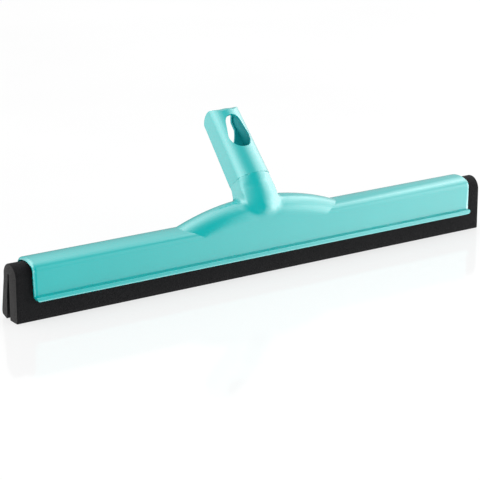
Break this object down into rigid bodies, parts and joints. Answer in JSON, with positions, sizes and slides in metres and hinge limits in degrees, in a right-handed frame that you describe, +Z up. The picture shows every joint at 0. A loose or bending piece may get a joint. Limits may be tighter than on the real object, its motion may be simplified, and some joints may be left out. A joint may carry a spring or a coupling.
{
  "type": "floor squeegee",
  "caption": "Floor squeegee head: a long open-ended channel with a sloping yoke and a tilted click plug for a handle, gripping a soft double-lip foam blade.",
  "frame": {"origin": "on the floor under the middle of the blade, halfway across the front lip's sole", "axes": "+X along the blade, -Y to the front, +Z up from the floor; the plug leans to +Y"},
  "size_m": [0.45, 0.074, 0.1261],
  "materials": {
    "holder_plastic": "satin gloss",
    "plug_plastic": "satin gloss",
    "foam": "matte, fine cells"
  },
  "bodies": {
    "head": {"holder": "holder_plastic", "handle_plug": "plug_plastic"},
    "blade": {"blade": "foam"}
  },
  "joints": [
    {"name": "blade_slide", "type": "slide", "parent": "head", "child": "blade", "axis": [1, 0, 0], "range_m": [-0.44, 0.44]}
  ]
}
